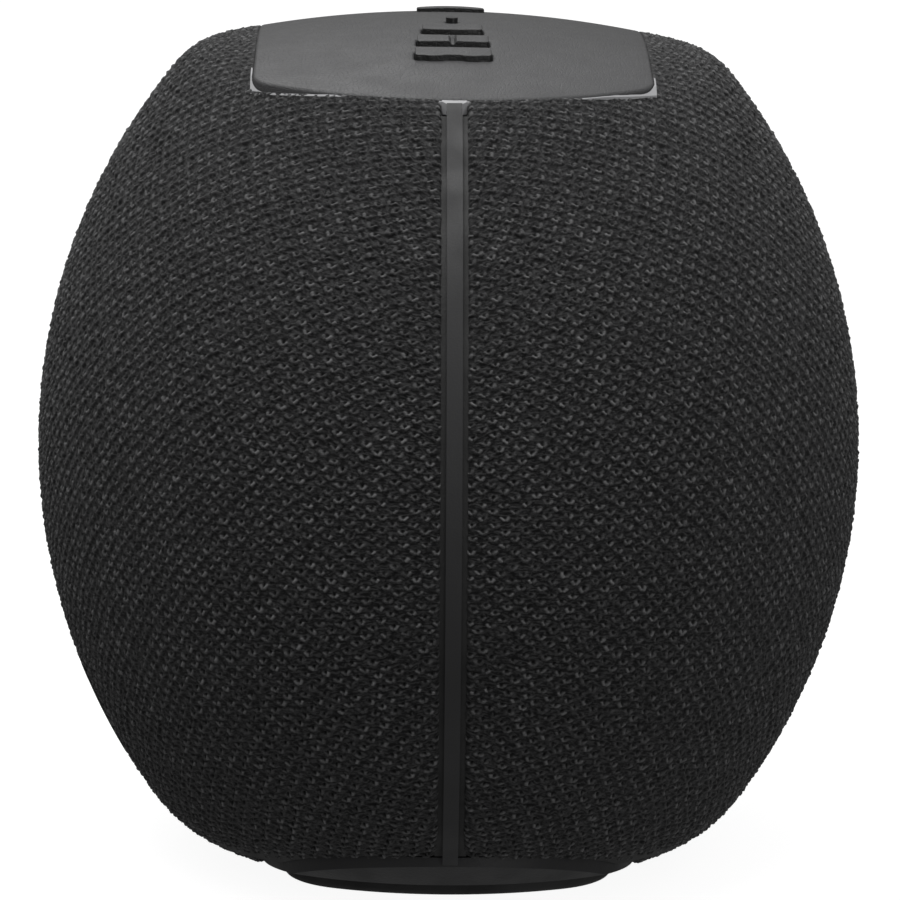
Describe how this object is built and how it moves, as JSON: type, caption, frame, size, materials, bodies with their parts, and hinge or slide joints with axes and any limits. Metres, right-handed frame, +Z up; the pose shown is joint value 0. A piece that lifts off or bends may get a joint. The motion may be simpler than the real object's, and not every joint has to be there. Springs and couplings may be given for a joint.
{
  "type": "portable bluetooth speaker",
  "caption": "Portable bluetooth speaker: a knit-covered spheroid body on a rubber foot, with a domed control panel and raised press keys on top.",
  "frame": {"origin": "on the floor plane, under the middle of the body", "axes": "+X towards the front, +Y towards the right end, +Z up"},
  "size_m": [0.14, 0.1726, 0.1431],
  "materials": {
    "knit_fabric": "matte",
    "grille_plastic": "matte",
    "strip_plastic": "satin",
    "trim_plastic": "satin",
    "panel_rubber": "satin",
    "key_rubber": "satin",
    "light_pipe": "satin",
    "silicone": "matte",
    "circuit_board": "satin",
    "frame_plastic": "matte",
    "screw_steel": "satin",
    "gasket_foam": "matte",
    "plated_steel": "satin",
    "ferrite": "matte",
    "cone_paper": "matte",
    "coil_copper": "satin",
    "roll_rubber": "matte",
    "spider_cloth": "matte",
    "cell_wrap": "gloss",
    "capacitor_sleeve": "gloss",
    "heat_sink_aluminium": "satin",
    "socket_steel": "satin",
    "foot_rubber": "matte",
    "base_plastic": "satin"
  },
  "bodies": {
    "housing": {"front_fabric": "knit_fabric", "rear_fabric": "knit_fabric", "front_grille": "grille_plastic", "rear_grille": "grille_plastic", "seam_strip_left": "strip_plastic", "seam_strip_right": "strip_plastic", "top_trim": "trim_plastic", "top_panel": "panel_rubber", "status_led": "light_pipe", "key_mat": "silicone", "button_board": "circuit_board", "top_deck": "frame_plastic", "deck_screws": "screw_steel", "front_cabinet": "frame_plastic", "rear_cabinet": "frame_plastic", "cabinet_gasket": "gasket_foam", "cabinet_screws": "screw_steel", "driver_frame": "plated_steel", "driver_top_plate": "plated_steel", "driver_magnet": "ferrite", "driver_pole_piece": "plated_steel", "driver_surround": "roll_rubber", "driver_spider": "spider_cloth", "driver_screws": "screw_steel", "radiator_frame": "frame_plastic", "radiator_surround": "roll_rubber", "radiator_screws": "screw_steel", "battery_cells": "cell_wrap", "battery_holder": "frame_plastic", "main_board": "circuit_board", "board_capacitors": "capacitor_sleeve", "board_coils": "ferrite", "heat_sink": "heat_sink_aluminium", "board_screws": "screw_steel", "port_bezel": "base_plastic", "port_board": "circuit_board", "usb_socket": "socket_steel", "aux_socket": "base_plastic", "base_plate": "base_plastic", "foot_pad": "foot_rubber", "base_screws": "screw_steel"},
    "cone": {"driver_cone": "cone_paper", "driver_coil": "coil_copper"},
    "radiator": {"radiator_cone": "cone_paper", "radiator_weight": "plated_steel"},
    "key_volume_up_cap": {"key_volume_up": "key_rubber"},
    "key_play_cap": {"key_play": "key_rubber"},
    "key_volume_down_cap": {"key_volume_down": "key_rubber"},
    "key_power_cap": {"key_power": "key_rubber"},
    "key_pairing_cap": {"key_pairing": "key_rubber"}
  },
  "joints": [
    {"name": "key_volume_up_press", "type": "slide", "parent": "housing", "child": "key_volume_up_cap", "axis": [0, 0, -1], "range_m": [0, 0.0006], "stiffness_N_per_m": 2500, "springref_m": -0.0002},
    {"name": "key_play_press", "type": "slide", "parent": "housing", "child": "key_play_cap", "axis": [0, 0, -1], "range_m": [0, 0.0006], "stiffness_N_per_m": 2500, "springref_m": -0.0002},
    {"name": "key_volume_down_press", "type": "slide", "parent": "housing", "child": "key_volume_down_cap", "axis": [0, 0, -1], "range_m": [0, 0.0006], "stiffness_N_per_m": 2500, "springref_m": -0.0002},
    {"name": "key_power_press", "type": "slide", "parent": "housing", "child": "key_power_cap", "axis": [0, 0, -1], "range_m": [0, 0.0006], "stiffness_N_per_m": 2500, "springref_m": -0.0002},
    {"name": "key_pairing_press", "type": "slide", "parent": "housing", "child": "key_pairing_cap", "axis": [0, 0, -1], "range_m": [0, 0.0006], "stiffness_N_per_m": 2500, "springref_m": -0.0002},
    {"name": "cone_stroke", "type": "slide", "parent": "housing", "child": "cone", "axis": [1, 0, 0], "range_m": [-0.002, 0.002], "stiffness_N_per_m": 1500, "deforming": ["driver_surround", "driver_spider"]},
    {"name": "radiator_stroke", "type": "slide", "parent": "housing", "child": "radiator", "axis": [1, 0, 0], "range_m": [-0.003, 0.003], "stiffness_N_per_m": 1200, "deforming": ["radiator_surround"]}
  ]
}
